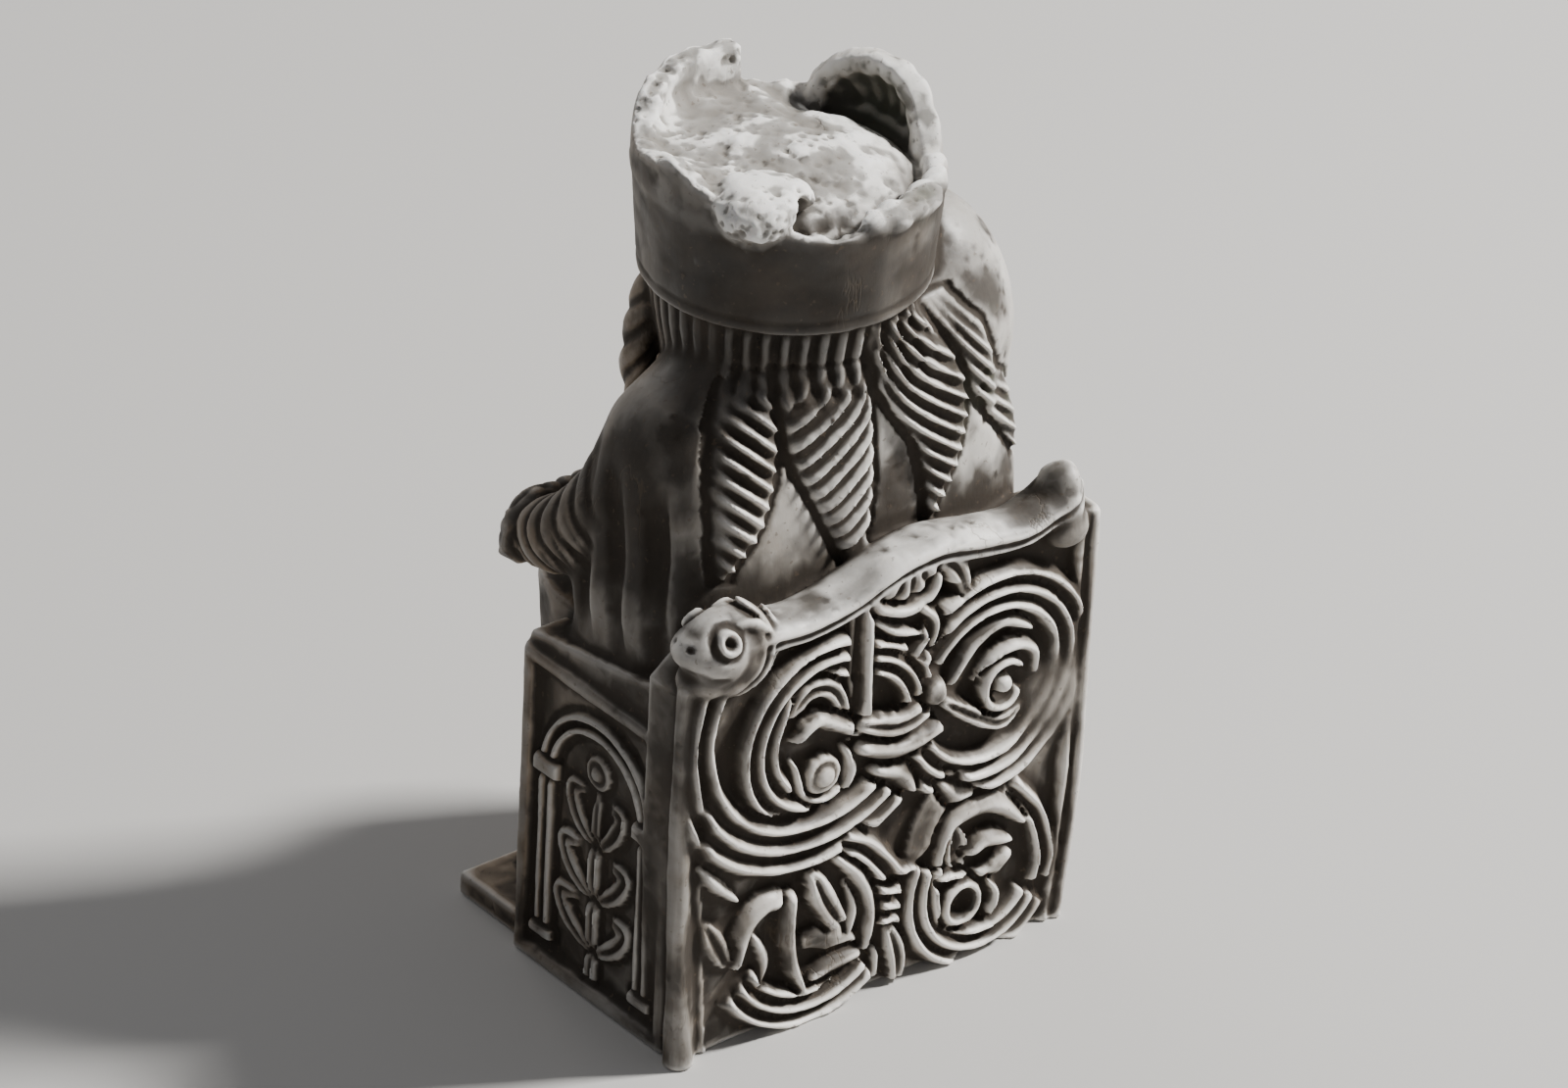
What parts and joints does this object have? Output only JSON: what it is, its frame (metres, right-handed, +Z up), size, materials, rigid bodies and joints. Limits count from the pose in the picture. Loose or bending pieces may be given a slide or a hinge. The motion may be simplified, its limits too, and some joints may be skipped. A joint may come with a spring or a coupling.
{
  "type": "medieval chess king",
  "caption": "Crowned king seated on a throne with scrollwork carved on its back, a chess piece carved in one piece from walrus ivory.",
  "frame": {"origin": "centre of the bounding box in plan, on the plane of the underside", "axes": "+Z up, -Y the way the king faces, +Y out of the carved back of the throne, +X to the king's left"},
  "size_m": [0.0572, 0.0442, 0.0996],
  "materials": {
    "walrus_ivory": "weathered walrus ivory with a soft sheen, darker in the recesses and chalky white on the worn crown"
  },
  "bodies": {
    "root": {"seated_king": "walrus_ivory"}
  },
  "joints": []
}
